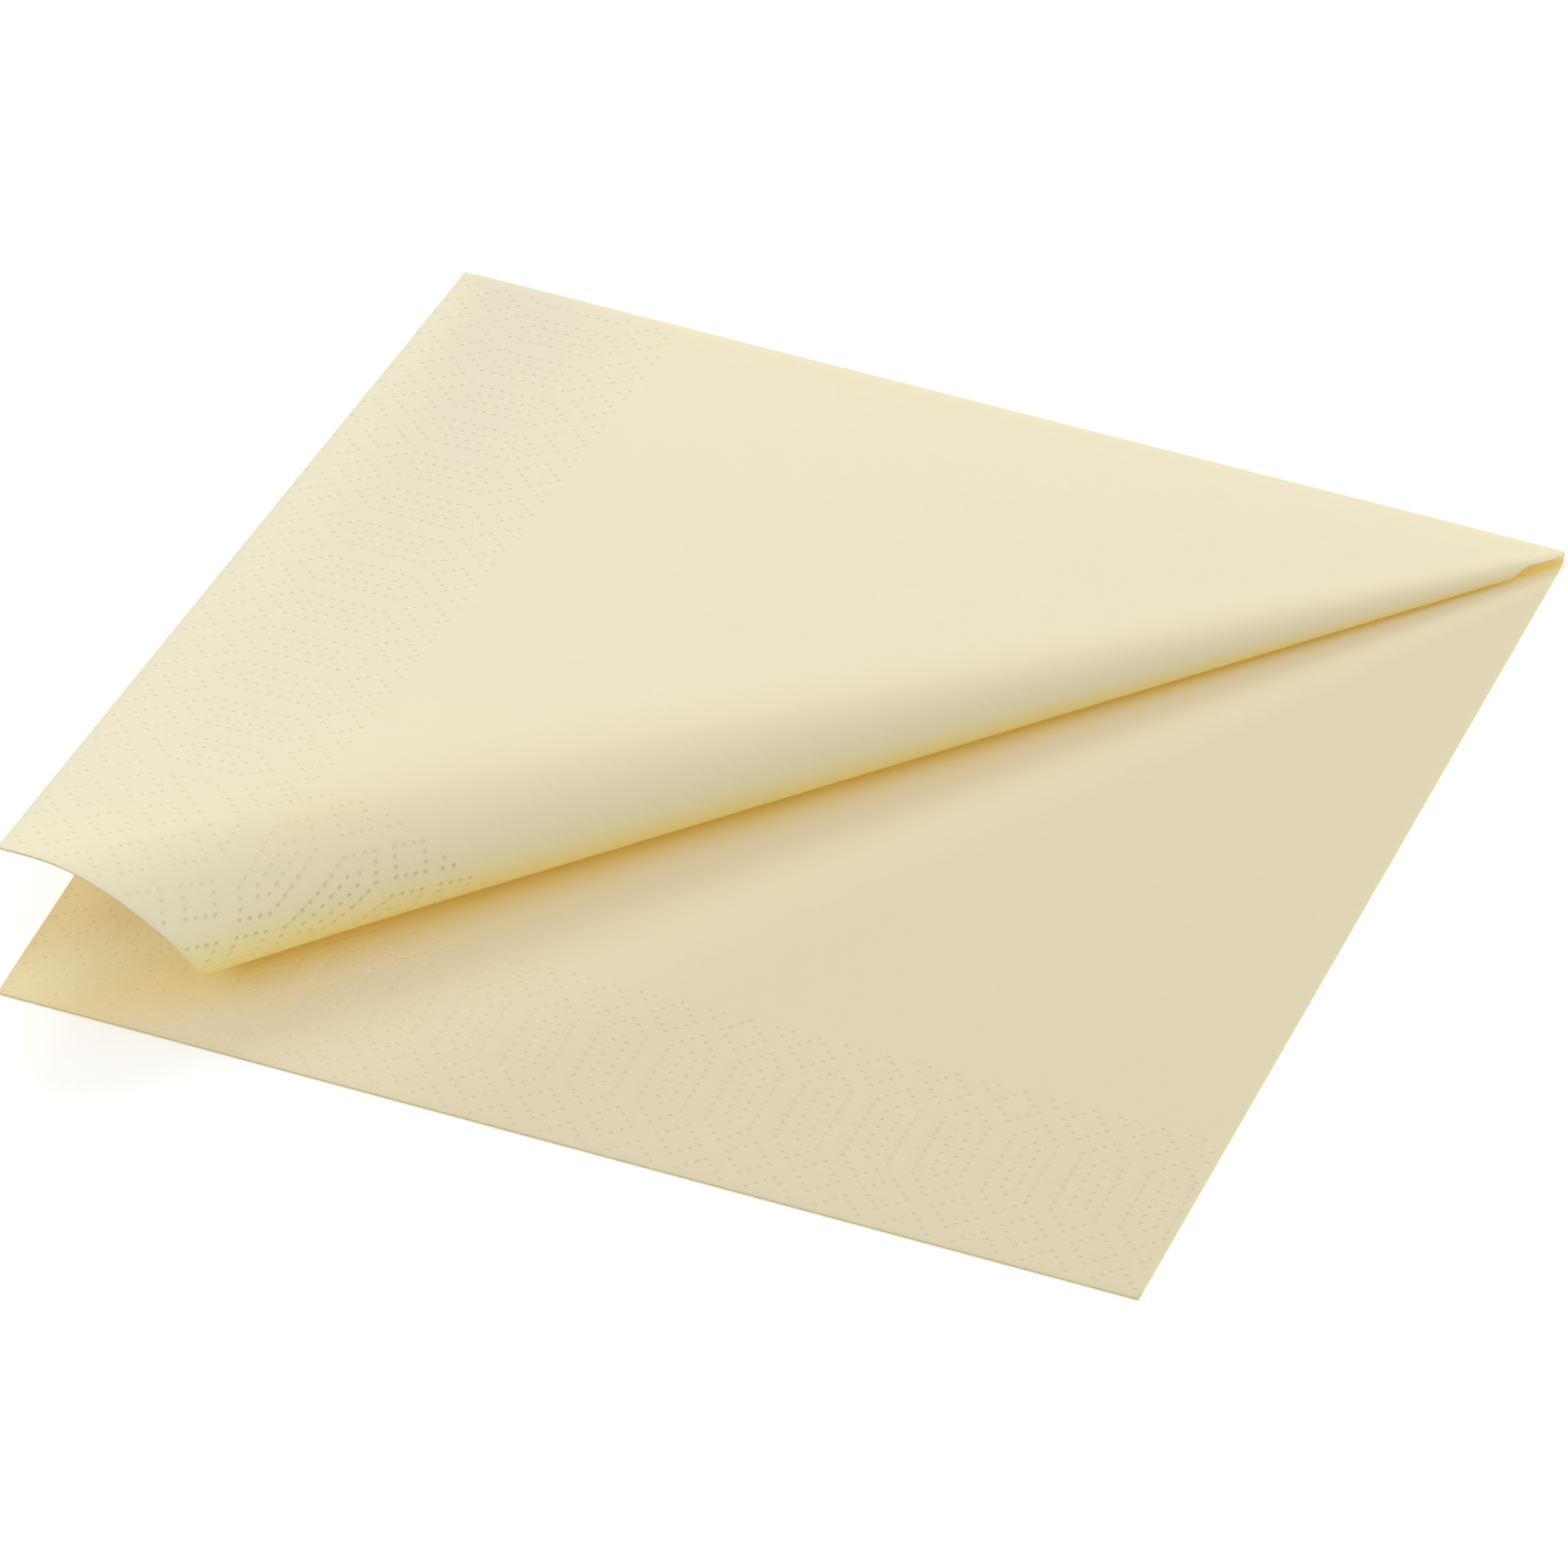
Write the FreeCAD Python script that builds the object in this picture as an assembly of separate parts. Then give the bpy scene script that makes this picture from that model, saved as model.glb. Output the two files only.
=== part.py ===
import FreeCAD, Part
import math
import os
from FreeCAD import Vector

# A paper napkin folded in quarters, lying on a table. The lower leaf is flat. The upper leaf
# hangs on it by the soft fold along the back, stands up a little, and has its front half
# turned under along the diagonal in a wide roll that narrows towards the closed corner.
# X runs along the front edge, Y from the front edge to the back fold and Z up. The origin
# is under the middle of the folded square, on the table.

# Driving sizes, in millimetres and degrees.
side = 165.0
leaf_thickness = 0.3
back_fold_radius = 1.05
lift_angle = 8.0
roll_start = 4.3
roll_seat_gap = 0.05
draw_in = 3.8
draw_in_length = 6.5
open_corner_radius = 0.65
lifted_corner_radius = 0.65
hidden_corner_radius = 0.65

# Points along each curved edge of the roll, how closely its faces are joined to their edges,
# and the code for two edges that run the same way.
edge_steps = 28
fix_precision = 0.0001
fix_limit = 0.01
same_way = 1

# The back fold: its axis is level, one radius in from the back edge.
lift = math.radians(lift_angle)
half = side / 2
fold_axis_y = half - back_fold_radius
fold_axis_z = back_fold_radius
fold_inner_radius = back_fold_radius - leaf_thickness

# The raised plane of the upper leaf. A place on the leaf is given as it was before the roll:
# across, from the open side, and down, from the back fold towards the front edge.
across_dir = Vector(1, 0, 0)
down_dir = Vector(0, -math.cos(lift), math.sin(lift))
up_dir = Vector(0, math.sin(lift), math.cos(lift))
fold_top = Vector(-half, fold_axis_y, fold_axis_z) + up_dir * back_fold_radius
leaf_depth = side - back_fold_radius + back_fold_radius * lift

# The roll is part of a cone. The cone touches the raised plane along a line through the
# closed corner, and it touches the level plane just above the lower leaf.
roll_dir_angle = math.atan2(leaf_depth, side - roll_start)
under_z = leaf_thickness + roll_seat_gap
tip_down = -(fold_top.z - under_z) / math.sin(lift)
tip_across = side - tip_down / math.tan(roll_dir_angle)
tip = fold_top + across_dir * tip_across + down_dir * tip_down
first_line = down_dir * math.sin(roll_dir_angle) - across_dir * math.cos(roll_dir_angle)
cone_angle = math.atan(first_line.z / (1 + up_dir.z))
cone_axis = first_line * math.cos(cone_angle) - up_dir * math.sin(cone_angle)
spoke_start = first_line * math.sin(cone_angle) + up_dir * math.cos(cone_angle)
spoke_side = spoke_start.cross(cone_axis)
level_spoke = cone_axis * math.sin(cone_angle) - Vector(0, 0, 1)
full_turn = math.atan2(level_spoke.dot(spoke_side), level_spoke.dot(spoke_start))
full_turn = full_turn % (2 * math.pi)


def raised_point(across, down):
    """A point of the raised plane, on the outside of the leaf."""
    return fold_top + across_dir * across + down_dir * down


def roll_spoke(turn):
    """The direction from the cone's axis to the leaf, after a turn about that axis."""
    return spoke_start * math.cos(turn) + spoke_side * math.sin(turn)


def roll_line(turn):
    """The straight line of the cone at a turn, as a direction from its tip."""
    return cone_axis * math.cos(cone_angle) + roll_spoke(turn) * math.sin(cone_angle)


def roll_normal(turn):
    """The direction out of the roll at a turn."""
    return roll_spoke(turn) * math.cos(cone_angle) - cone_axis * math.sin(cone_angle)


def closed_side_across(down):
    """Where the leaf's closed side runs: it draws in beside the closed corner."""
    share = min(max(down / draw_in_length, 0.0), 1.0)
    return side - draw_in * share * share * (3 - 2 * share)


def turn_of(across, down):
    """How far the roll has turned at a place on the leaf."""
    angle = math.atan2(down - tip_down, tip_across - across)
    return (angle - roll_dir_angle) / math.sin(cone_angle)


def tip_distance(across, down):
    """The distance on the leaf from the cone's tip to a place."""
    return math.hypot(tip_across - across, down - tip_down)


def front_across(turn):
    """Where the cone's line at a turn crosses the front edge of the leaf."""
    angle = roll_dir_angle + turn * math.sin(cone_angle)
    return tip_across - (leaf_depth - tip_down) / math.tan(angle)


def under_point(across, down):
    """A point of the turned-under part, on the side that faces the lower leaf."""
    angle = math.atan2(down - tip_down, tip_across - across) - roll_dir_angle
    extra = angle - full_turn * math.sin(cone_angle)
    last_line = roll_line(full_turn)
    onward = roll_normal(full_turn).cross(last_line)
    direction = last_line * math.cos(extra) + onward * math.sin(extra)
    return tip + direction * tip_distance(across, down)


def rounded_plate(corners, radii, thickness_dir):
    """A plate on a flat outline, with each corner rounded by its own radius."""
    edges = []
    starts = []
    ends = []
    count = len(corners)
    for i in range(count):
        back = (corners[i - 1] - corners[i]).normalize()
        ahead = (corners[(i + 1) % count] - corners[i]).normalize()
        half_angle = back.getAngle(ahead) / 2
        reach = radii[i] / math.tan(half_angle)
        starts.append(corners[i] + back * reach)
        ends.append(corners[i] + ahead * reach)
        if radii[i] > 0:
            middle_dir = (back + ahead).normalize()
            middle = corners[i] + middle_dir * (radii[i] / math.sin(half_angle) - radii[i])
            edges.append(Part.Arc(starts[i], middle, ends[i]).toShape())
    for i in range(count):
        edges.append(Part.makeLine(ends[i], starts[(i + 1) % count]))
    outline = Part.Wire(Part.__sortEdges__(edges))
    return Part.Face(outline).extrude(thickness_dir)


def lower_leaf():
    """The flat leaf that lies on the table, up to the back fold."""
    corners = [
        Vector(-half, -half, 0),
        Vector(half, -half, 0),
        Vector(half, fold_axis_y, 0),
        Vector(-half, fold_axis_y, 0),
    ]
    radii = [open_corner_radius, 0, 0, 0]
    plate = rounded_plate(corners, radii, Vector(0, 0, leaf_thickness))
    return plate


def back_fold():
    """The round fold that joins the leaves along the back."""
    ring_place = Vector(-half, fold_axis_y, fold_axis_z)
    section = []
    for radius in (back_fold_radius, fold_inner_radius):
        start = ring_place - Vector(0, 0, radius)
        middle = ring_place + Vector(0, radius * math.cos(lift / 2), -radius * math.sin(lift / 2))
        end = ring_place + up_dir * radius
        section.append(Part.Arc(start, middle, end).toShape())
    outer, inner = section
    section.append(Part.makeLine(outer.Vertexes[0].Point, inner.Vertexes[0].Point))
    section.append(Part.makeLine(outer.Vertexes[-1].Point, inner.Vertexes[-1].Point))
    wire = Part.Wire(Part.__sortEdges__(section))
    return Part.Face(wire).extrude(across_dir * side)


def raised_leaf():
    """The part of the upper leaf that stays flat, from the back fold to the roll."""
    corners = [
        raised_point(0, 0),
        raised_point(0, leaf_depth),
        raised_point(front_across(0), leaf_depth),
        raised_point(side, 0),
    ]
    radii = [0, lifted_corner_radius, 0, 0]
    return rounded_plate(corners, radii, up_dir * -leaf_thickness)


def last_down():
    """Where the roll's last line leaves the closed side, measured down the leaf."""
    angle = roll_dir_angle + full_turn * math.sin(cone_angle)
    return tip_down + (tip_across - side + draw_in) * math.tan(angle)


def roll_point(across, down, depth):
    """A point of the roll at a depth in the paper, for a place on the leaf."""
    turn = turn_of(across, down)
    start = tip - roll_normal(turn) * depth
    return start + roll_line(turn) * tip_distance(across, down)


def roll_edges(depth):
    """The roll's four edges at a depth in the paper: near, far, first and last."""
    shares = [i / edge_steps for i in range(edge_steps + 1)]
    near_points = []
    far_points = []
    for share in shares:
        down = last_down() * share
        near_points.append(roll_point(closed_side_across(down), down, depth))
        far_across = front_across(full_turn * share)
        far_points.append(roll_point(far_across, leaf_depth, depth))
    curves = []
    for points in (near_points, far_points):
        curve = Part.BSplineCurve()
        curve.interpolate(Points=points, Parameters=shares)
        curves.append(curve.toShape())
    for i in (0, -1):
        curves.append(Part.makeLine(near_points[i], far_points[i]))
    return curves


def roll_surface(depth):
    """The whole cone at a depth in the paper, with its seam on the open side of the roll."""
    seam_x = roll_spoke(full_turn / 2 - math.pi)
    seam_y = cone_axis.cross(seam_x)
    rows = zip(seam_x, seam_y, cone_axis, tip)
    frame = FreeCAD.Matrix(*[value for row in rows for value in row])
    reach = tip_distance(0, leaf_depth)
    start_z = depth / math.sin(cone_angle)
    low = Vector(0, 0, start_z + math.cos(cone_angle))
    high = Vector(0, 0, start_z + reach * math.cos(cone_angle))
    low_radius = math.sin(cone_angle)
    surface = Part.Cone(low, high, low_radius, reach * low_radius)
    surface.transform(frame)
    return surface


def roll_face(surface, edges):
    """The stretch of a cone inside its four edges."""
    face = Part.Face(surface, Part.Wire(Part.__sortEdges__(edges)))
    face.fix(fix_precision, fix_precision, fix_limit)
    return face


def roll():
    """The cone-shaped shell in which the upper leaf turns under."""
    outer_edges = roll_edges(0)
    inner_edges = roll_edges(leaf_thickness)
    outer_face = roll_face(roll_surface(0), outer_edges)
    inner_face = roll_face(roll_surface(leaf_thickness), inner_edges)
    faces = [outer_face, inner_face]
    for outer_edge, inner_edge in zip(outer_edges, inner_edges):
        faces.append(Part.makeRuledSurface(outer_edge, inner_edge, same_way))
    shell = Part.makeCompound(faces)
    shell.sewShape()
    solid = Part.Solid(shell.Shells[0])
    if solid.Volume < 0:
        solid.reverse()
    return solid


def turned_under_leaf():
    """The flat part that lies on the lower leaf after the roll."""
    down_end = last_down()
    inner_side = side - draw_in
    corners = [
        under_point(inner_side, down_end),
        under_point(front_across(full_turn), leaf_depth),
        under_point(inner_side, leaf_depth),
    ]
    radii = [0, 0, hidden_corner_radius]
    return rounded_plate(corners, radii, Vector(0, 0, leaf_thickness))


def napkin():
    """The whole folded sheet as one solid."""
    pieces = [lower_leaf(), back_fold(), raised_leaf(), roll(), turned_under_leaf()]
    sheet = pieces[0].multiFuse(pieces[1:])
    return sheet.removeSplitter()


os.makedirs("parts", exist_ok=True)
shape = napkin()
print("solids", len(shape.Solids), "valid", shape.isValid(), "volume", round(shape.Volume, 1))
print("box", shape.BoundBox)
shape.Solids[0].exportStep("parts/napkin.step")
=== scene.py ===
import math
import random

import bpy
import numpy as np
from mathutils import Matrix, Vector
from mathutils.geometry import delaunay_2d_cdt
from mathutils.kdtree import KDTree


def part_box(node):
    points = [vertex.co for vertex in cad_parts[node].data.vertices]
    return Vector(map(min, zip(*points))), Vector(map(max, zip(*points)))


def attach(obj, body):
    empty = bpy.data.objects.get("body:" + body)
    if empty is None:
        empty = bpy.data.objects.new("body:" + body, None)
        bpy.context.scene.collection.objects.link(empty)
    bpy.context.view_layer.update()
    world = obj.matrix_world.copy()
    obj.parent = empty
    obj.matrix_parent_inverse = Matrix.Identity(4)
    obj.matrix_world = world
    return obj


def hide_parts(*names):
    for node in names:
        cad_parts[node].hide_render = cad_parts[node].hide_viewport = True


# A paper napkin folded in quarters, its raised upper leaf turned under along the diagonal in
# a soft roll. One closed mesh stands for the sheet. It is drawn flat, with the dots of its
# embossed border, and then folded and rolled like the real one.

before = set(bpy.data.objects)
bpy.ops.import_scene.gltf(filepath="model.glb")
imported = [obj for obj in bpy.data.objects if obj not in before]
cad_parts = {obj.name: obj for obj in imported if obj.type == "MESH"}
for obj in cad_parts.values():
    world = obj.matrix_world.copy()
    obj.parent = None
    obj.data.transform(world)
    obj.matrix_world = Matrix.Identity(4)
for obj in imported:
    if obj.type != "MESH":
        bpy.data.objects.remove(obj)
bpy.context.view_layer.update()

# Sizes are in millimetres, and become metres where a mesh is made.
MM = 0.001
low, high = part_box("napkin")
side = (high[0] - low[0]) / MM
half = side / 2

# The folded sheet, as in the part.
leaf_thickness = 0.3
back_fold_radius = 1.05
lift = math.radians(8.0)
roll_start = 4.3
roll_seat_gap = 0.05
draw_in = 3.8
draw_in_length = 6.5
corner_radius = 0.65
closed_corner_radius = 0.15

# The flat sheet: across runs from the open side, along from the front edge of the lower
# leaf round the back fold to the front edge of the upper leaf.
lower_depth = side - back_fold_radius
fold_middle_radius = back_fold_radius - leaf_thickness / 2
fold_length = fold_middle_radius * (math.pi - lift)
upper_depth = lower_depth + back_fold_radius * lift
upper_start = lower_depth + fold_length
sheet_length = upper_start + upper_depth

# The raised plane and the cone of the roll.
across_dir = np.array([1.0, 0.0, 0.0])
down_dir = np.array([0.0, -math.cos(lift), math.sin(lift)])
up_dir = np.array([0.0, math.sin(lift), math.cos(lift)])
fold_axis = np.array([-half, half - back_fold_radius, back_fold_radius])
fold_top = fold_axis + up_dir * back_fold_radius
roll_angle = math.atan2(upper_depth, side - roll_start)
tip_down = -(fold_top[2] - leaf_thickness - roll_seat_gap) / math.sin(lift)
tip_across = side - tip_down / math.tan(roll_angle)
tip = fold_top + across_dir * tip_across + down_dir * tip_down
first_line = down_dir * math.sin(roll_angle) - across_dir * math.cos(roll_angle)
cone_angle = math.atan(first_line[2] / (1 + up_dir[2]))
cone_axis = first_line * math.cos(cone_angle) - up_dir * math.sin(cone_angle)
spoke_start = first_line * math.sin(cone_angle) + up_dir * math.cos(cone_angle)
spoke_side = np.cross(spoke_start, cone_axis)
level_spoke = cone_axis * math.sin(cone_angle) - np.array([0.0, 0.0, 1.0])
full_turn = math.atan2(level_spoke @ spoke_side, level_spoke @ spoke_start) % (2 * math.pi)

# The line where the roll meets the lower leaf, and the level direction in front of it.
contact_line = (cone_axis * math.cos(cone_angle)
                + (spoke_start * math.cos(full_turn) + spoke_side * math.sin(full_turn))
                * math.sin(cone_angle))
contact_front = np.cross(contact_line, np.array([0.0, 0.0, -1.0]))

# The end of the roll flares a little at the front edge.
flare_turn = 2.3
flare_spread = 0.5
flare_reach = 14.0
flare_along = 1.8
flare_out = 0.35

# The embossed border, in rows away from a cut edge. Motifs repeat along the edge.
dot_step = 1.035
diamond_reach = 3
edge_row = 1.0
outer_row = 6.35
hexagon_row = 11.57
inner_row = 29.2
border_width = 32.9
side_dots = 9
side_dot_step = 1.523
hexagon_slope = 1.1
nested_fewer = 3
nested_start = 1.9
nested_dot_step = 1.69
nested_tip_before = 1.2
nested_tip_after = 1.4
link_rise = 1.8
link_arm_rise = 3.1

# Where two cut edges meet there is a lattice of diamonds with a mitred motif. A run of that
# motif has its first dot, the step to the next, how many there are, and whether it is there
# once more with its two places swapped.
lattice_step = 5.3
lattice_cells = (
    (0, 0), (2, 0), (4, 0), (1, 1), (3, 1), (0, 2), (2, 2), (1, 3), (0, 4),
    (-1, -1), (1, -1), (3, -1), (-1, 1), (-1, 3),
)
mitre_diamond = 27.6
mitre_runs = (
    (14.2, 26.7, 1.65, 0.0, 5, True),
    (21.9, 25.5, 1.2, -1.2, 4, False),
    (14.7, 25.9, 1.245, -1.245, 10, False),
    (28.4, 31.6, 1.07, 1.07, 4, True),
    (29.5, 30.5, 0.0, 0.0, 1, True),
)

# Where the embossing roller left the border on each leaf. An edge has the place of its first
# motif, the pitch, how far its rows are moved in, and how much more for each millimetre. The
# corner has a scale and a shift on each side.
lower_border = {
    "front": (32.29, 9.9, -0.3, 0.0046),
    "left": (33.3, 9.9, -1.9, 0.0),
    "corner": ((1.033, -2.27), (0.975, 0.55)),
}
upper_border = {
    "front": (34.6, 10.0, -0.2, 0.0),
    "left": (33.62, 10.03, 0.05, 0.0047),
    "corner": ((1.041, -0.85), (0.994, 0.26)),
}

# Relief of one face: the dots are pressed in, deepest beside their far lip, and the paper
# swells between them. The dots of the raised leaf stand out a little on its back.
dot_radius = 0.42
dot_floor_radius = 0.22
dot_lean = 0.14
dot_lean_angle = math.radians(22)
dot_depth = 0.12
back_bump = 0.14
back_bump_radius = 0.52
valley_depth = 0.025
valley_radius = 1.7
lip_margin = 0.05
lip_tolerance = 0.02
hidden_turn = full_turn * 1.02

# Points of the mesh round a dot and along the outline. A ring has how many points it has,
# and how far they are turned, in steps.
floor_ring = (6, 0)
rim_ring = (7, 0.5)
bump_ring = (6, 0)
outline_step = 1.2
corner_steps = 4
draw_in_points = 24
draw_in_run_out = 5
outline_gap = 0.5
fold_gap = 1

# Lines of points follow the back fold and the straight lines of the roll's cone.
fold_lines = 11
fold_line_steps = 42
roll_lines = 44
roll_step = 1.5
roll_step_share = 0.03
roll_margin = 0.4
roll_fold_gap = 0.3
border_gap = 2
free_down = upper_depth - border_width - border_gap
free_overlap = 0.5

# The rest of a face is filled. A zone has its name, the spacing of its points and how far
# they keep from a dot's centre.
fillings = (("border", 1.75, 1.0), ("roll", 1.2, 0.7), ("middle", 5.0, 2.6))
filling_jitter = 0.1
filling_margin = 0.8
border_overlap = 1
roll_overlap = 0.05

# Settings of the flat triangulation: only what is inside the outline, and points nearer to
# each other than this are one.
inside_only = 1
join_distance = 1e-4
sharp_angle = math.radians(50)
seed = 7
rng = random.Random(seed)

# Material slots of the sheet. The closed side is a fold, so it shows the outer face there.
outer_slot, inner_slot, edge_slot = range(3)
closed_side_start = 0.2
closed_side_end = sheet_length - 1

# Colours of the paper, with painted light and shade, and how much of the light goes through it.
outer_colour = (0.915, 0.96, 0.835)
# The inner faces are a darker copy of the outer paper colour: painted shade on the lower leaf.
inner_paper_and_painted_shade_colour = (0.80, 0.81, 0.715)
# Painted shade on the roll's outer face, darker as it turns down.
roll_painted_shade_colour = (0.81, 0.83, 0.69)
# A painted warm glow in the crevice where the roll meets the lower leaf, on both faces.
crevice_painted_glow_colour = (1.0, 0.90, 0.30)
# Painted light that lightens the lower leaf in front of the roll, where the roll's shadow falls.
front_painted_light_colour = (1.0, 0.99, 0.88)
# Painted shade, darker and greener, low on the roll's outer face near the lower leaf.
roll_underside_painted_shade_colour = (0.58, 0.59, 0.37)
# Painted light: the faces between the leaves are lighter and less yellow under and behind the
# roll.
cavity_painted_light_colour = (1.0, 0.91, 0.80)
# Painted warm shade inside the opening under the roll, towards the open side.
open_side_painted_shade_colour = (0.82, 0.71, 0.47)
# Painted shade in the dots low on the roll's outer face.
dot_painted_shade_colour = (0.34, 0.32, 0.18)
# The cut edges are darker and browner as painted shade.
edge_painted_shade_dark_colour = (0.56, 0.46, 0.22)
edge_painted_shade_light_colour = (0.76, 0.64, 0.36)
through_colour = (1.0, 0.92, 0.74)
through_share = 0.42
paper_roughness = 0.85
paper_gloss = 0.15
edge_roughness = 0.9
edge_gloss = 0.1

# The paper's fibres, as noise: how fine they are, and how far they darken and raise it.
grain_scale = 1500
grain_detail = 4
grain_dark = 0.975
grain_strength = 0.3
grain_height = 0.00002
edge_grain_scale = 900
edge_grain_detail = 2

# The painted light and shade round the roll go by where a place is. Its spread is how far it
# lies in front of the line where the roll meets the lower leaf, and its rise is how high it
# lies, both as shares of its distance along that line from the cone's tip. A ramp has its
# start and its end, and then how strong the painted light or shade is at each.
front_painted_light_ramp = (0, 0.24, 1.0, 0)
behind_ramp = (-0.06, 0, 1, 0)
inner_crevice_glow_ramp = (0.01, 0.06, 0.9, 0)
cavity_ramp = (-0.05, 0, 0.3, 1)
outer_crevice_glow_ramp = (0.005, 0.07, 0.8, 0)
front_ramp = (-0.02, 0.02, 0, 1)
roll_painted_shade_ramp = (-0.07, 0.045, 0, 0.8)
roll_underside_painted_shade_ramp = (0.005, 0.09, 0.6, 0)
dot_painted_shade_ramp = (0.03, 0.1, 0.95, 0)

# Two ramps go by how far across the napkin a place is, in metres.
open_side = -half * MM
roll_end = open_side + 0.03
# Where the painted shade inside the opening fades away from the open side.
open_side_painted_shade_ramp = (open_side, open_side + 0.04, 0.9, 0)
# Where the painted warm glow of the crevice fades at the roll's free end.
roll_end_glow_ramp = (roll_end - 0.012, roll_end + 0.006, 0.3, 1)

# The camera, far off with a long lens, the white table and the light. The camera's place is
# in millimetres, and the other lengths here are in metres.
camera_place = (720.68, -1801.53, 1658.66)
camera_right = (0.92799, 0.372603, 0.000832)
camera_forward = (-0.282591, 0.705261, -0.650192)
camera_sensor = 36
camera_lens = 428.18
camera_reach = 20
table_reach = 3.0
table_gap = 0.00002
table_colour = (0.95, 0.95, 0.95)
table_glow = (0.16, 0.16, 0.16)
table_roughness = 0.9
table_gloss = 0.5
sky_strength = 0.87
window_place = (-0.3, 0.62, 0.75)
window_width = 0.5
window_height = 0.4
window_power = 2.6
bounces = 24


def eased_share(share):
    """A share from 0 to 1 that starts and ends slowly."""
    return share * share * (3 - 2 * share)


def spoke(turn):
    """The directions from the cone's axis to the leaf after some turns about that axis."""
    return np.outer(np.cos(turn), spoke_start) + np.outer(np.sin(turn), spoke_side)


def upper_leaf_points(across, down, depth):
    """Places on the upper leaf, at a depth under its outer face, once it is folded."""
    angle = np.arctan2(down - tip_down, tip_across - across) - roll_angle
    distance = np.hypot(tip_across - across, down - tip_down)
    turn = np.clip(angle / math.sin(cone_angle), 0, full_turn)
    axial = cone_axis[None, :]
    line = axial * math.cos(cone_angle) + spoke(turn) * math.sin(cone_angle)
    normal = spoke(turn) * math.cos(cone_angle) - axial * math.sin(cone_angle)
    beyond = angle - turn * math.sin(cone_angle)
    onward = np.cross(normal, line)
    heading = line * np.cos(beyond)[:, None] + onward * np.sin(beyond)[:, None]
    place = tip + heading * distance[:, None] - normal * depth[:, None]
    edge_gap = upper_depth - down
    flare = np.exp(-((turn - flare_turn) / flare_spread) ** 2 - (edge_gap / flare_reach) ** 2)
    return place + (line * flare_along + normal * flare_out) * flare[:, None]


def sheet_points(across, along, depth):
    """Places on the sheet, at a depth under its outer face, once it is folded."""
    points = np.empty((len(across), 3))
    lower = along <= lower_depth
    upper = along >= upper_start
    bend = ~(lower | upper)
    points[lower, 0] = across[lower] - half
    points[lower, 1] = along[lower] - half
    points[lower, 2] = depth[lower]
    angle = (along[bend] - lower_depth) / fold_middle_radius
    radius = back_fold_radius - depth[bend]
    points[bend, 0] = across[bend] - half
    points[bend, 1] = fold_axis[1] + np.sin(angle) * radius
    points[bend, 2] = fold_axis[2] - np.cos(angle) * radius
    down = along[upper] - upper_start
    points[upper] = upper_leaf_points(across[upper], down, depth[upper])
    return points


def turn_at(x, y):
    """How far the roll has turned at a flat place, or a negative number before it."""
    down = y - upper_start
    angle = math.atan2(down - tip_down, tip_across - x) - roll_angle
    return angle / math.sin(cone_angle)


def place_tree(places):
    """A tree that finds the nearest of some flat places."""
    tree = KDTree(len(places))
    for i, place in enumerate(places):
        tree.insert((place[0], place[1], 0), i)
    tree.balance()
    return tree


def diamond(x, y):
    """The dots of one diamond round a centre."""
    reach = diamond_reach
    dots = []
    for i in range(-reach, reach + 1):
        rest = reach - abs(i)
        for j in {rest, -rest}:
            dots.append((x + i * dot_step, y + j * dot_step))
    return dots


def long_hexagon(x, count):
    """The dots of a long hexagon that lies across the border, with one nested in it."""
    end = hexagon_row + (count - 1) * side_dot_step
    dots = []
    for i in range(count):
        y = hexagon_row + i * side_dot_step
        dots.append((x - diamond_reach * dot_step, y))
        dots.append((x + diamond_reach * dot_step, y))
    for i in range(1 - diamond_reach, diamond_reach):
        rise = (diamond_reach - abs(i)) * hexagon_slope
        dots.append((x + i * dot_step, end + rise))
        dots.append((x + i * dot_step, hexagon_row - rise))
    nested_count = count - nested_fewer
    inner_start = hexagon_row + nested_start
    inner_end = inner_start + (nested_count - 1) * nested_dot_step
    for i in range(nested_count):
        y = inner_start + i * nested_dot_step
        dots.append((x - dot_step, y))
        dots.append((x + dot_step, y))
    dots.append((x, inner_start - nested_tip_before))
    dots.append((x, inner_end + nested_tip_after))
    return dots


def edge_dots(first, pitch, shift, slope):
    """One edge's border, in places along the edge and away from it."""
    dots = []
    count = int((side - first) / pitch) + 2
    for k in range(count):
        x = first + k * pitch
        dots += long_hexagon(x, side_dots - 1 if k == 0 else side_dots)
        dots += diamond(x, edge_row)
        if k > 0:
            dots += diamond(x - pitch / 2, outer_row)
            dots += diamond(x - pitch / 2, inner_row)
            dots.append((x, inner_row + link_rise))
            dots.append((x - dot_step, inner_row + link_arm_rise))
            dots.append((x + dot_step, inner_row + link_arm_rise))
    return [(x, y + shift + slope * x) for x, y in dots]


def corner_dots(scale_x, shift_x, scale_y, shift_y):
    """The border where two cut edges meet."""
    dots = []
    for i, j in lattice_cells:
        dots += diamond(outer_row + i * lattice_step, outer_row + j * lattice_step)
    dots += diamond(mitre_diamond, mitre_diamond)
    for first_x, first_y, step_x, step_y, count, swapped in mitre_runs:
        for k in range(count):
            x = first_x + k * step_x
            y = first_y + k * step_y
            dots.append((x, y))
            if swapped:
                dots.append((y, x))
    return [(x * scale_x + shift_x, y * scale_y + shift_y) for x, y in dots]


def leaf_dots(border):
    """All the dots of one leaf, as distances from its open side and from its front edge."""
    dots = edge_dots(*border["front"])
    dots += [(y, x) for x, y in edge_dots(*border["left"])]
    dots += corner_dots(*border["corner"][0], *border["corner"][1])
    tree = place_tree(dots)
    kept = []
    for i, (x, y) in enumerate(dots):
        near = [index for _, index, _ in tree.find_range((x, y, 0), dot_radius * 2)]
        across_leaf = dot_radius < x < side - dot_radius
        down_leaf = dot_radius < y < lower_depth - fold_gap
        if across_leaf and down_leaf and min(near) == i:
            kept.append((x, y))
    return kept


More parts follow.
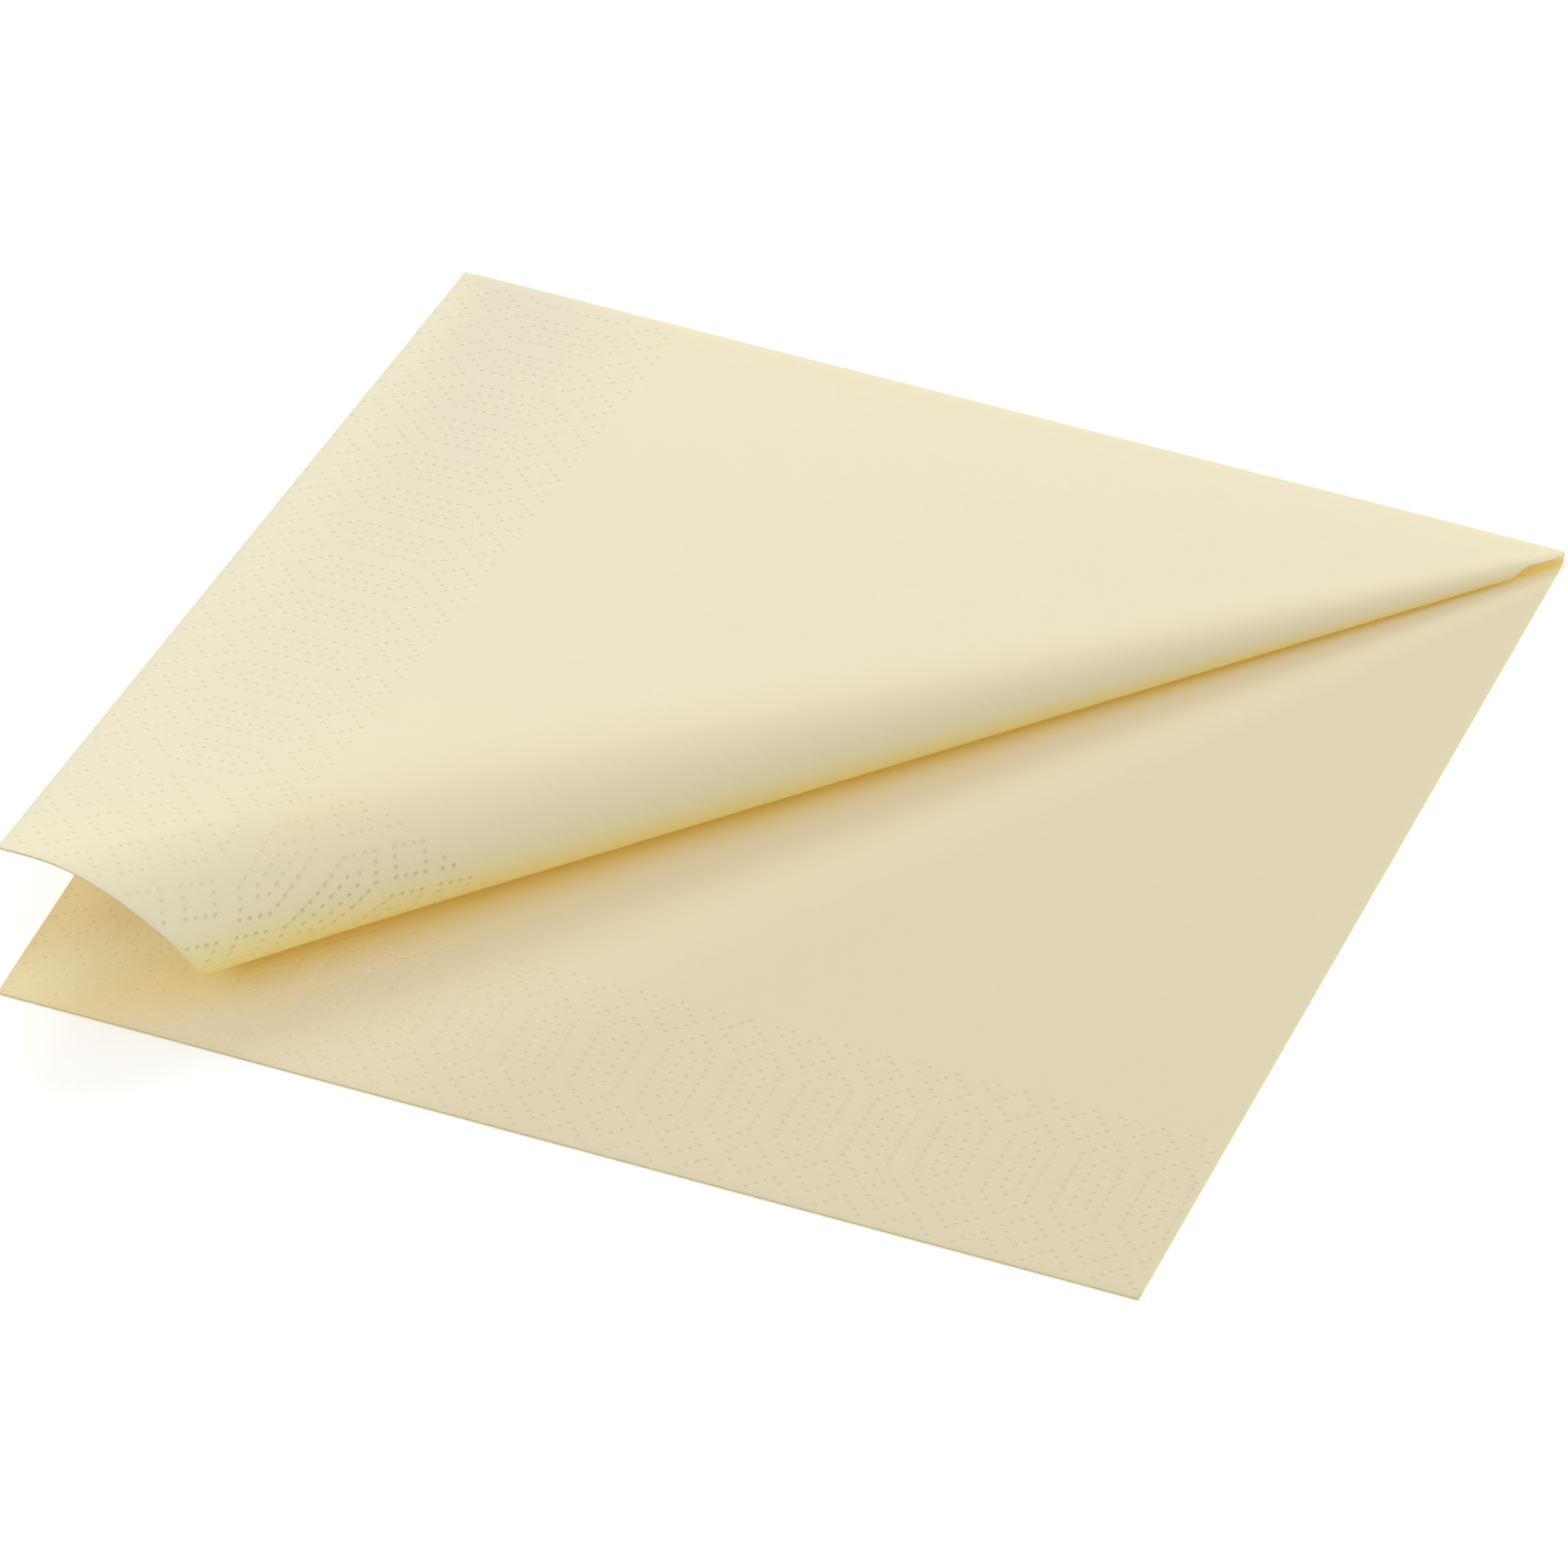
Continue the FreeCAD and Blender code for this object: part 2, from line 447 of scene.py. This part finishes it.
def sheet_dots():
    """Every dot of the sheet in its flat places, and whether it is on the upper leaf."""
    lower = [(x, y, False) for x, y in leaf_dots(lower_border)]
    upper = [(x, sheet_length - y, True) for x, y in leaf_dots(upper_border)]
    return lower + upper


def closed_side(along):
    """How far across the sheet its closed side runs: it draws in beside the closed corner."""
    share = min(max((along - upper_start) / draw_in_length, 0.0), 1.0)
    return side - draw_in * eased_share(share)


def inside_outline(x, y, margin):
    """True for a place on the sheet that stays clear of its edges."""
    return margin < x < closed_side(y) - margin and margin < y < sheet_length - margin


def straight_points(a, b):
    """Points along a straight edge of the sheet, without its ends."""
    count = int(math.dist(a, b) / outline_step)
    shares = [k / count for k in range(1, count)]
    return [(a[0] + (b[0] - a[0]) * s, a[1] + (b[1] - a[1]) * s) for s in shares]


def closed_side_points(start, end):
    """Points along the closed side, close together where it draws in."""
    drawn_in = upper_start + draw_in_length + draw_in_run_out
    marks = list(np.arange(start + outline_step, upper_start - outline_gap, outline_step))
    marks += list(np.linspace(upper_start, drawn_in, draw_in_points))
    last = end - outline_step / 2
    marks += list(np.arange(marks[-1] + outline_step, last, outline_step))
    return [(closed_side(y), y) for y in marks]


def outline():
    """The flat sheet's outline, as a closed run of points."""
    points = []
    far_x = closed_side(sheet_length)
    corners = [
        (0, 0, corner_radius, 180),
        (side, 0, closed_corner_radius, 270),
        (far_x, sheet_length, corner_radius, 0),
        (0, sheet_length, corner_radius, 90),
    ]
    for x, y, radius, first in corners:
        centre_x = x + (radius if x == 0 else -radius)
        centre_y = y + (radius if y == 0 else -radius)
        arc = []
        for k in range(corner_steps + 1):
            turn = math.radians(first + k * 90 / corner_steps)
            arc.append((centre_x + radius * math.cos(turn), centre_y + radius * math.sin(turn)))
        if x == far_x:
            points += closed_side_points(points[-1][1], arc[0][1])
        elif points:
            points += straight_points(points[-1], arc[0])
        points += arc
    points += straight_points(points[-1], points[0])
    return points


def ring(x, y, radius, count, offset):
    """Points round a dot."""
    turns = [2 * math.pi * (k + offset) / count for k in range(count)]
    return [(x + radius * math.cos(t), y + radius * math.sin(t)) for t in turns]


def dot_points(dots, fine_upper):
    """The points of each dot on one face: a floor and a lip on the leaf whose face it is
    pressed into, and a plain ring on the other."""
    points = []
    for x, y, upper in dots:
        hidden = upper and fine_upper and turn_at(x, y) > hidden_turn
        if hidden or not inside_outline(x, y, dot_radius + lip_margin):
            continue
        if upper == fine_upper:
            floor_x = x - dot_lean * math.sin(dot_lean_angle)
            floor_y = y + (-dot_lean if upper else dot_lean) * math.cos(dot_lean_angle)
            points.append((floor_x, floor_y))
            points += ring(floor_x, floor_y, dot_floor_radius, *floor_ring)
            points += ring(x, y, dot_radius, *rim_ring)
        else:
            points.append((x, y))
            points += ring(x, y, back_bump_radius, *bump_ring)
    return points


def bend_lines():
    """Lines of points along the back fold and along the cone, where the sheet bends."""
    lines = []
    for k in range(fold_lines):
        y = lower_depth + fold_length * k / (fold_lines - 1)
        lines.append([(side * i / fold_line_steps, y) for i in range(1, fold_line_steps)])
    for k in range(roll_lines + 1):
        angle = roll_angle + full_turn * math.sin(cone_angle) * k / roll_lines
        distance = (free_down - tip_down) / math.sin(angle)
        line = []
        while True:
            x = tip_across - distance * math.cos(angle)
            y = upper_start + tip_down + distance * math.sin(angle)
            if not inside_outline(x, y, roll_margin) or y < upper_start + roll_fold_gap:
                break
            line.append((x, y))
            distance -= max(roll_step, distance * roll_step_share)
        lines.append(line)
    return lines


def zone_at(x, y):
    """The zone of the filling that a flat place is in, or None where the sheet bends."""
    border_end = border_width + border_overlap
    turn = turn_at(x, y) if y > upper_start else -1
    in_roll = -roll_overlap < turn < full_turn + roll_overlap
    free_roll = in_roll and y - upper_start < free_down + free_overlap
    near_fold = lower_depth - fold_gap < y < upper_start + fold_gap
    if near_fold or free_roll:
        return None
    if min(y, sheet_length - y) < border_end or x < border_end:
        return "roll" if in_roll else "border"
    return "middle"


def filling_points(dot_tree):
    """Points between the dots, closest together where the border rolls."""
    points = []
    for zone, spacing, clearance in fillings:
        for j in range(int(sheet_length / spacing)):
            for i in range(int(side / spacing) + 1):
                shift_x = rng.uniform(-filling_jitter, filling_jitter)
                shift_y = rng.uniform(-filling_jitter, filling_jitter)
                x = (i + 0.5 * (j % 2) + 0.5 + shift_x) * spacing
                y = (j + 0.5 + shift_y) * spacing
                if not inside_outline(x, y, filling_margin) or zone_at(x, y) != zone:
                    continue
                _, _, reach = dot_tree.find((x, y, 0))
                if reach > clearance:
                    points.append((x, y))
    return points


def relief(points, dot_tree, dots, fine_upper):
    """How far a face is pressed in at flat places, and how much it is a dot there."""
    depth = np.zeros(len(points))
    pressed = np.zeros(len(points))
    for i, (x, y) in enumerate(points):
        _, index, reach = dot_tree.find((x, y, 0))
        in_dot = reach < dot_radius - lip_margin
        if dots[index][2] == fine_upper:
            share = min(max((reach - dot_radius) / (valley_radius - dot_radius), 0.0), 1.0)
            depth[i] = valley_depth * (1 - eased_share(share))
            depth[i] += dot_depth * in_dot
            pressed[i] = in_dot
        elif in_dot and not fine_upper:
            depth[i] = -back_bump
    return depth, pressed


def dot_lips(verts, edges, dot_tree):
    """The edges that run round the lip of a dot, where the paper turns sharply down."""
    lips = []
    places = [dot_tree.find((x, y, 0)) for x, y in verts]
    for a, b in edges:
        _, a_dot, a_reach = places[a]
        _, b_dot, b_reach = places[b]
        off_lip = max(abs(a_reach - dot_radius), abs(b_reach - dot_radius))
        if a_dot == b_dot and off_lip < lip_tolerance:
            lips.append((a, b))
    return lips


def face_mesh(dots, rim, fine_upper):
    """One face of the sheet: its flat points, triangles, depths, dots, outline and lips."""
    tree = place_tree(dots)
    points = list(rim) + dot_points(dots, fine_upper)
    count = len(rim)
    edges = [(i, (i + 1) % count) for i in range(count)]
    for line in bend_lines():
        start = len(points)
        points += line
        edges += [(i, i + 1) for i in range(start, len(points) - 1)]
    points += filling_points(tree)
    flat = [Vector(p) for p in points]
    out = delaunay_2d_cdt(flat, edges, [], inside_only, join_distance)
    verts = [(v.x, v.y) for v in out[0]]
    lookup = {}
    for new, olds in enumerate(out[3]):
        for old in olds:
            lookup[old] = new
    loop = [lookup[i] for i in range(count)]
    depth, pressed = relief(verts, tree, dots, fine_upper)
    lips = dot_lips(verts, out[1], tree)
    return np.array(verts), out[2], depth, pressed, loop, lips


def make_sheet():
    """The whole napkin as one closed mesh."""
    dots = sheet_dots()
    rim = outline()
    outside = face_mesh(dots, rim, True)
    inside = face_mesh(dots, rim, False)
    outer, outer_faces, outer_depth, outer_pressed, outer_loop, outer_lips = outside
    inner, inner_faces, inner_depth, inner_pressed, inner_loop, inner_lips = inside
    outer_3d = sheet_points(outer[:, 0], outer[:, 1], outer_depth)
    inner_3d = sheet_points(inner[:, 0], inner[:, 1], leaf_thickness - inner_depth)
    verts = np.vstack([outer_3d, inner_3d]) * MM
    base = len(outer)
    faces = [tuple(reversed(f)) for f in outer_faces]
    faces += [tuple(i + base for i in f) for f in inner_faces]
    slots = [outer_slot] * len(outer_faces) + [inner_slot] * len(inner_faces)
    count = len(rim)
    for i, (x, y) in enumerate(rim):
        after = (i + 1) % count
        outer_edge = (outer_loop[i], outer_loop[after])
        inner_edge = (inner_loop[after] + base, inner_loop[i] + base)
        faces.append(outer_edge + inner_edge)
        folded = x > half and closed_side_start < y < closed_side_end
        slots.append(outer_slot if folded else edge_slot)
    mesh = bpy.data.meshes.new("napkin_sheet")
    mesh.from_pydata([tuple(v) for v in verts], [], faces)
    pressed = mesh.attributes.new("pressed", "FLOAT", "POINT")
    pressed.data.foreach_set("value", np.concatenate([outer_pressed, inner_pressed]))
    mesh.polygons.foreach_set("material_index", slots)
    mesh.polygons.foreach_set("use_smooth", [True] * len(mesh.polygons))
    mesh.set_sharp_from_angle(angle=sharp_angle)
    lips = {tuple(sorted(edge)) for edge in outer_lips}
    lips |= {tuple(sorted((a + base, b + base))) for a, b in inner_lips}
    for edge in mesh.edges:
        if tuple(sorted(edge.vertices)) in lips:
            edge.use_edge_sharp = True
    sheet = bpy.data.objects.new("napkin_sheet", mesh)
    bpy.context.scene.collection.objects.link(sheet)
    print("dots", len(dots), "vertices", len(verts), "triangles", sum(len(f) - 2 for f in faces))
    return sheet


def new_material(name, roughness, specular):
    """A material with its nodes, its links and its shader, set to a roughness and a gloss."""
    material = bpy.data.materials.new(name)
    material.use_nodes = True
    nodes = material.node_tree.nodes
    shader = nodes["Principled BSDF"]
    shader.inputs["Roughness"].default_value = roughness
    shader.inputs["Specular IOR Level"].default_value = specular
    return material, nodes, material.node_tree.links, shader


def fibres(nodes, links, place, scale, detail, dark, light):
    """Noise like the fibres of paper, and a mix of two colours by it."""
    grain = nodes.new("ShaderNodeTexNoise")
    grain.inputs["Scale"].default_value = scale
    grain.inputs["Detail"].default_value = detail
    links.new(place, grain.inputs["Vector"])
    tint = nodes.new("ShaderNodeMix")
    tint.data_type = "RGBA"
    tint.inputs["A"].default_value = (*dark, 1)
    tint.inputs["B"].default_value = (*light, 1)
    links.new(grain.outputs["Fac"], tint.inputs["Factor"])
    return grain.outputs["Fac"], tint.outputs["Result"]


def eased(nodes, links, value, ramp_values):
    """The strength of a shade, by a ramp: it eases from one value to another."""
    ramp = nodes.new("ShaderNodeMapRange")
    ramp.interpolation_type = "SMOOTHSTEP"
    links.new(value, ramp.inputs["Value"])
    for name, number in zip(("From Min", "From Max", "To Min", "To Max"), ramp_values):
        ramp.inputs[name].default_value = number
    return ramp.outputs["Result"]


def vector_step(nodes, links, value, operation, vector):
    """One vector operation between a node's output and a fixed vector."""
    step = nodes.new("ShaderNodeVectorMath")
    step.operation = operation
    links.new(value, step.inputs[0])
    step.inputs[1].default_value = vector
    return step.outputs["Value" if operation == "DOT_PRODUCT" else "Vector"]


def number_step(nodes, links, operation, first, second):
    """One operation between two numbers."""
    step = nodes.new("ShaderNodeMath")
    step.operation = operation
    links.new(first, step.inputs[0])
    links.new(second, step.inputs[1])
    return step.outputs["Value"]


def roll_place(nodes, links, place):
    """The spread and the rise of a place by the roll."""
    seen = vector_step(nodes, links, place, "SUBTRACT", Vector(tip) * MM)
    along = vector_step(nodes, links, seen, "DOT_PRODUCT", Vector(contact_line))
    ahead = vector_step(nodes, links, seen, "DOT_PRODUCT", Vector(contact_front))
    up = vector_step(nodes, links, seen, "DOT_PRODUCT", (0, 0, 1))
    spread = number_step(nodes, links, "DIVIDE", ahead, along)
    rise = number_step(nodes, links, "DIVIDE", up, along)
    return spread, rise


def blend(nodes, links, share, first, second):
    """A mix of two colours; the first comes from a node."""
    mix = nodes.new("ShaderNodeMix")
    mix.data_type = "RGBA"
    links.new(share, mix.inputs["Factor"])
    links.new(first, mix.inputs["A"])
    mix.inputs["B"].default_value = (*second, 1)
    return mix.outputs["Result"]


def inner_painted_light_and_shade(nodes, links, place, spread, body):
    """Painted light and shade on the faces between the leaves: painted light on the lower leaf
    in front of the roll, lighter and less yellow painted light under and behind it, painted
    shade there towards the open side, and a painted warm glow beside it."""
    # Painted light on the lower leaf in front of the roll, against the roll's shadow.
    front_painted_light = eased(nodes, links, spread, front_painted_light_ramp)
    body = blend(nodes, links, front_painted_light, body, front_painted_light_colour)
    # Painted light on the faces under and behind the roll.
    behind = eased(nodes, links, spread, behind_ramp)
    body = blend(nodes, links, behind, body, cavity_painted_light_colour)
    across = vector_step(nodes, links, place, "DOT_PRODUCT", (1, 0, 0))
    # Painted warm shade under the roll towards the open side.
    open_side_painted_shade = eased(nodes, links, across, open_side_painted_shade_ramp)
    open_side_painted_shade = number_step(nodes, links, "MULTIPLY", open_side_painted_shade, behind)
    body = blend(nodes, links, open_side_painted_shade, body, open_side_painted_shade_colour)
    # A painted warm glow on the lower leaf beside the line where the roll meets it, fading under
    # the roll's free end.
    near = eased(nodes, links, spread, inner_crevice_glow_ramp)
    in_front = eased(nodes, links, spread, cavity_ramp)
    under_roll = eased(nodes, links, across, roll_end_glow_ramp)
    side_part = number_step(nodes, links, "MULTIPLY", in_front, under_roll)
    crevice_painted_glow = number_step(nodes, links, "MULTIPLY", near, side_part)
    return blend(nodes, links, crevice_painted_glow, body, crevice_painted_glow_colour)


def outer_painted_light_and_shade(nodes, links, spread, rise, body):
    """Painted light and shade on the faces outside: painted shade darkens the roll towards its
    underside and in its dots, and a painted warm glow lies where it nears the lower leaf."""
    # A painted warm glow on the roll's underside where it nears the lower leaf.
    near = eased(nodes, links, rise, outer_crevice_glow_ramp)
    in_front = eased(nodes, links, spread, front_ramp)
    # Painted shade: the roll's outer face darkens as it turns down.
    roll_painted_shade = eased(nodes, links, spread, roll_painted_shade_ramp)
    body = blend(nodes, links, roll_painted_shade, body, roll_painted_shade_colour)
    # Painted shade low on the roll's outer face, near the lower leaf.
    roll_underside_painted_shade = eased(nodes, links, rise, roll_underside_painted_shade_ramp)
    roll_underside_painted_shade = number_step(nodes, links, "MULTIPLY", roll_underside_painted_shade, in_front)
    body = blend(nodes, links, roll_underside_painted_shade, body, roll_underside_painted_shade_colour)
    # Painted shade in the dots, strongest low on the roll's outer face.
    dots = nodes.new("ShaderNodeAttribute")
    dots.attribute_name = "pressed"
    strength = eased(nodes, links, rise, dot_painted_shade_ramp)
    strength = number_step(nodes, links, "MULTIPLY", strength, in_front)
    dot_painted_shade = number_step(nodes, links, "MULTIPLY", dots.outputs["Fac"], strength)
    body = blend(nodes, links, dot_painted_shade, body, dot_painted_shade_colour)
    crevice_painted_glow = number_step(nodes, links, "MULTIPLY", near, in_front)
    return blend(nodes, links, crevice_painted_glow, body, crevice_painted_glow_colour)


def paper_material(name, colour, inner):
    """Cream tissue paper: matt and fibrous, and some of the light goes through it. Its colour
    holds painted light and shade round the roll.
    """
    material, nodes, links, shader = new_material(name, paper_roughness, paper_gloss)
    place = nodes.new("ShaderNodeTexCoord").outputs["Object"]
    dark = [c * grain_dark for c in colour]
    grain, body = fibres(nodes, links, place, grain_scale, grain_detail, dark, colour)
    spread, rise = roll_place(nodes, links, place)
    if inner:
        body = inner_painted_light_and_shade(nodes, links, place, spread, body)
    else:
        body = outer_painted_light_and_shade(nodes, links, spread, rise, body)
    links.new(body, shader.inputs["Base Color"])
    bump = nodes.new("ShaderNodeBump")
    bump.inputs["Strength"].default_value = grain_strength
    bump.inputs["Distance"].default_value = grain_height
    links.new(grain, bump.inputs["Height"])
    links.new(bump.outputs["Normal"], shader.inputs["Normal"])
    through = nodes.new("ShaderNodeBsdfTranslucent")
    through.inputs["Color"].default_value = (*through_colour, 1)
    links.new(bump.outputs["Normal"], through.inputs["Normal"])
    both = nodes.new("ShaderNodeMixShader")
    both.inputs["Fac"].default_value = through_share
    links.new(shader.outputs["BSDF"], both.inputs[1])
    links.new(through.outputs["BSDF"], both.inputs[2])
    links.new(both.outputs["Shader"], nodes["Material Output"].inputs["Surface"])
    return material


def edge_material():
    """The cut edge of the paper, darker and browner than its faces as painted shade."""
    material, nodes, links, shader = new_material("cut_edge_painted_shade", edge_roughness, edge_gloss)
    place = nodes.new("ShaderNodeTexCoord").outputs["Object"]
    colours = (edge_painted_shade_dark_colour, edge_painted_shade_light_colour)
    _, body = fibres(nodes, links, place, edge_grain_scale, edge_grain_detail, *colours)
    links.new(body, shader.inputs["Base Color"])
    return material


def add_camera():
    """The camera at the photograph's viewing angle."""
    data = bpy.data.cameras.new("camera")
    data.sensor_width = camera_sensor
    data.lens = camera_lens
    data.clip_end = camera_reach
    camera = bpy.data.objects.new("camera", data)
    right = Vector(camera_right).normalized()
    forward = Vector(camera_forward).normalized()
    up = right.cross(forward).normalized()
    right = forward.cross(up)
    turn = Matrix((right, up, -forward)).transposed()
    camera.matrix_world = Matrix.LocRotScale(Vector(camera_place) * MM, turn, None)
    bpy.context.scene.collection.objects.link(camera)
    bpy.context.scene.camera = camera


def add_table():
    """A white table top that keeps the shadow."""
    reach = table_reach
    corners = [(-reach, -reach, 0), (reach, -reach, 0), (reach, reach, 0), (-reach, reach, 0)]
    mesh = bpy.data.meshes.new("floor")
    mesh.from_pydata(corners, [], [(0, 1, 2, 3)])
    floor = bpy.data.objects.new("floor", mesh)
    floor.location.z = -table_gap
    bpy.context.scene.collection.objects.link(floor)
    made = new_material("white_table", table_roughness, table_gloss)
    material, nodes, links, shader = made
    shader.inputs["Base Color"].default_value = (*table_colour, 1)
    shader.inputs["Emission Color"].default_value = (*table_glow, 1)
    path = nodes.new("ShaderNodeLightPath")
    links.new(path.outputs["Is Camera Ray"], shader.inputs["Emission Strength"])
    floor.data.materials.append(material)


def add_window():
    """A broad soft lamp above and behind the napkin, which it faces."""
    data = bpy.data.lights.new("window", "AREA")
    data.shape = "RECTANGLE"
    data.size = window_width
    data.size_y = window_height
    data.energy = window_power
    lamp = bpy.data.objects.new("window", data)
    lamp.location = window_place
    lamp.rotation_euler = (-lamp.location).to_track_quat("-Z", "Y").to_euler()
    bpy.context.scene.collection.objects.link(lamp)


def add_daylight():
    """Soft daylight from all round, which bounces on between the leaves."""
    world = bpy.data.worlds.new("studio")
    bpy.context.scene.world = world
    world.use_nodes = True
    background = world.node_tree.nodes["Background"]
    background.inputs["Color"].default_value = (1, 1, 1, 1)
    background.inputs["Strength"].default_value = sky_strength
    cycles = bpy.context.scene.cycles
    cycles.diffuse_bounces = bounces
    cycles.max_bounces = bounces
    cycles.transmission_bounces = bounces


bpy.context.scene.view_settings.view_transform = "Standard"
add_camera()
add_table()
add_daylight()
add_window()
sheet = make_sheet()
# Both faces carry painted light and shade round the roll, and the inner one is a darker copy as
# painted shade.
sheet.data.materials.append(paper_material("tissue_outside_painted_light_and_shade", outer_colour, False))
sheet.data.materials.append(paper_material("tissue_inside_painted_light_and_shade", inner_paper_and_painted_shade_colour, True))
sheet.data.materials.append(edge_material())
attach(sheet, "root")
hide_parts("napkin")
